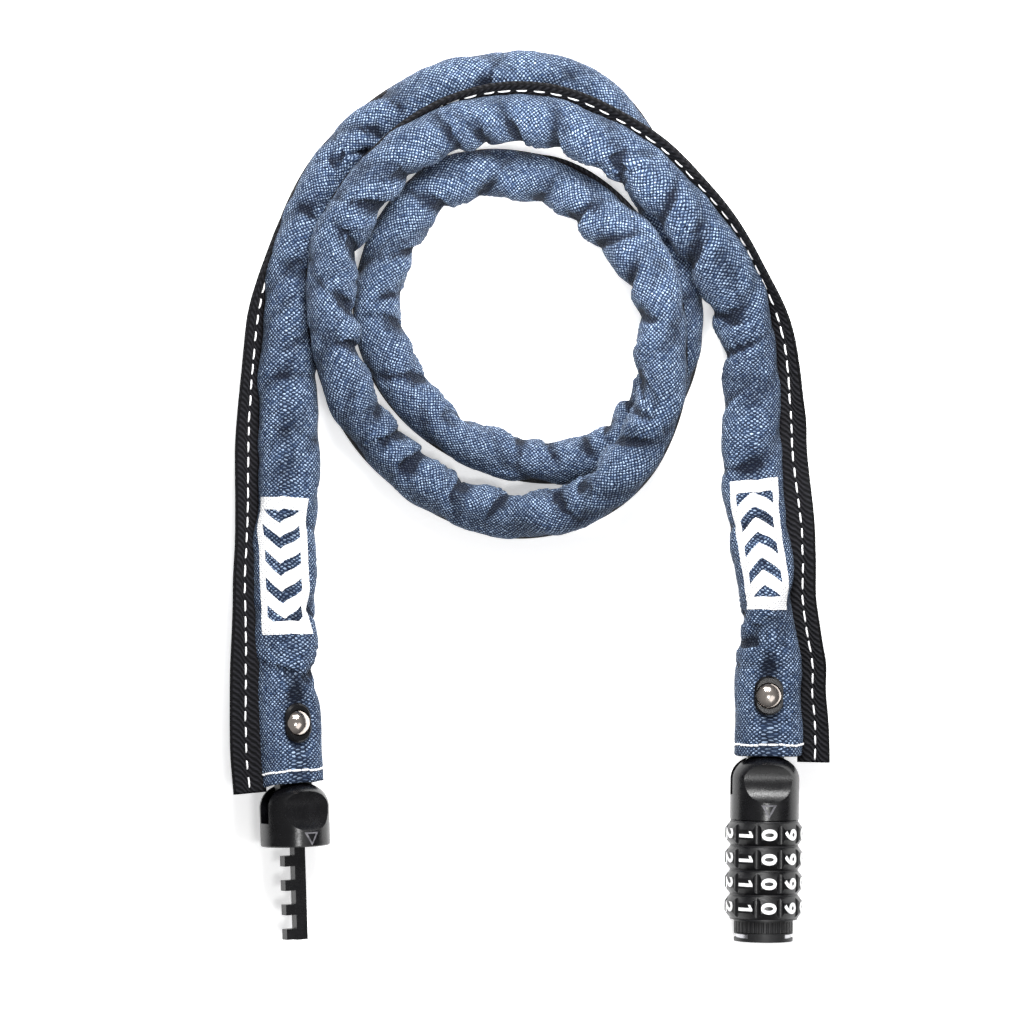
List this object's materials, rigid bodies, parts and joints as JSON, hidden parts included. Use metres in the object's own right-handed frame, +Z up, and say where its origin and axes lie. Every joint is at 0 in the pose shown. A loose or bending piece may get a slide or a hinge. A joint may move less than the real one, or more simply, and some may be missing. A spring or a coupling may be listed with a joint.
{
  "type": "chain lock",
  "caption": "Fabric-sleeved security chain with a combination dial lock riveted to one end and a toothed bolt to the other, laid in a loose coil.",
  "frame": {"origin": "centre of the bounding box on the surface that the lock lies on", "axes": "+Z up from the surface, +Y along the two legs from the lock and bolt towards the coil, +X towards the side of the combination lock"},
  "size_m": [0.156, 0.2371, 0.0275],
  "materials": {
    "fabric": "heathered woven cotton-look polyester, matt",
    "tape": "black twill binding tape, matt",
    "chain": "zinc-plated hardened steel",
    "black_steel": "black electrophoretic coat, satin",
    "black_cast": "black powder coat on zinc alloy, satin",
    "nickel": "nickel-plated, polished",
    "steel": "bright steel",
    "dial_plastic": "black moulded plastic, satin, white numbers",
    "black_plastic": "black moulded plastic, satin",
    "brass": "turned brass"
  },
  "bodies": {
    "chain": {"sleeve": "fabric", "binding_tape": "tape", "chain_links": "chain", "lock_tongue": "black_steel", "bolt_tongue": "black_steel", "rivets": "nickel", "front_washers": "black_cast", "rear_washers": "black_cast", "rivet_caps": "nickel"},
    "lock": {"lock_housing": "black_cast", "lock_pivot_pin": "black_steel", "core_tube": "steel", "core_pin": "steel", "return_spring": "steel", "click_washers": "black_steel", "end_cap": "black_plastic", "retaining_ring": "steel"},
    "bolt": {"bolt_head": "black_cast", "bolt_pivot_pin": "black_steel", "bolt_blade": "black_cast", "blade_pin": "steel"},
    "set_ring": {"set_ring": "black_plastic"},
    "set_slider": {"set_slider": "steel"},
    "dial_1": {"dial_1": "dial_plastic"},
    "code_ring_1": {"code_ring_1": "brass"},
    "dial_2": {"dial_2": "dial_plastic"},
    "code_ring_2": {"code_ring_2": "brass"},
    "dial_3": {"dial_3": "dial_plastic"},
    "code_ring_3": {"code_ring_3": "brass"},
    "dial_4": {"dial_4": "dial_plastic"},
    "code_ring_4": {"code_ring_4": "brass"}
  },
  "joints": [
    {"name": "lock_pivot", "type": "hinge", "parent": "chain", "child": "lock", "pos_m": [0.0617, -0.075, 0.0103], "axis": [0.0872, -0.0009, 0.9962], "range_deg": [-20, 20]},
    {"name": "bolt_pivot", "type": "hinge", "parent": "chain", "child": "bolt", "pos_m": [-0.062, -0.0823, 0.00925], "axis": [0.5148, 0.0162, 0.8572], "range_deg": [-20, 20]},
    {"name": "set_ring_turn", "type": "hinge", "parent": "lock", "child": "set_ring", "pos_m": [0.0617, -0.075, 0.0103], "axis": [-0.0105, -0.9999, 0], "range_deg": [0, 90]},
    {"name": "set_slider_slide", "type": "slide", "parent": "lock", "child": "set_slider", "axis": [0.0105, 0.9999, 0], "range_m": [0, 0.0016]},
    {"name": "dial_1_turn", "type": "hinge", "parent": "lock", "child": "dial_1", "pos_m": [0.06154, -0.0901, 0.0103], "axis": [-0.0105, -0.9999, 0], "continuous": true},
    {"name": "code_ring_1_slide", "type": "slide", "parent": "dial_1", "child": "code_ring_1", "axis": [0.0105, 0.9999, 0], "range_m": [0, 0.0016], "deforming": ["return_spring"]},
    {"name": "dial_2_turn", "type": "hinge", "parent": "lock", "child": "dial_2", "pos_m": [0.06147, -0.0965, 0.0103], "axis": [-0.0105, -0.9999, 0], "continuous": true},
    {"name": "code_ring_2_slide", "type": "slide", "parent": "dial_2", "child": "code_ring_2", "axis": [0.0105, 0.9999, 0], "range_m": [0, 0.0016]},
    {"name": "dial_3_turn", "type": "hinge", "parent": "lock", "child": "dial_3", "pos_m": [0.0614, -0.1029, 0.0103], "axis": [-0.0105, -0.9999, 0], "continuous": true},
    {"name": "code_ring_3_slide", "type": "slide", "parent": "dial_3", "child": "code_ring_3", "axis": [0.0105, 0.9999, 0], "range_m": [0, 0.0016]},
    {"name": "dial_4_turn", "type": "hinge", "parent": "lock", "child": "dial_4", "pos_m": [0.06134, -0.1093, 0.0103], "axis": [-0.0105, -0.9999, 0], "continuous": true},
    {"name": "code_ring_4_slide", "type": "slide", "parent": "dial_4", "child": "code_ring_4", "axis": [0.0105, 0.9999, 0], "range_m": [0, 0.0016]}
  ],
  "couplings": [
    {"joint": "set_ring_turn", "follows": "code_ring_1_slide", "rad_per_m": 981.7},
    {"joint": "set_slider_slide", "follows": "code_ring_1_slide", "ratio": 1},
    {"joint": "code_ring_2_slide", "follows": "code_ring_1_slide", "ratio": 1},
    {"joint": "code_ring_3_slide", "follows": "code_ring_1_slide", "ratio": 1},
    {"joint": "code_ring_4_slide", "follows": "code_ring_1_slide", "ratio": 1}
  ]
}
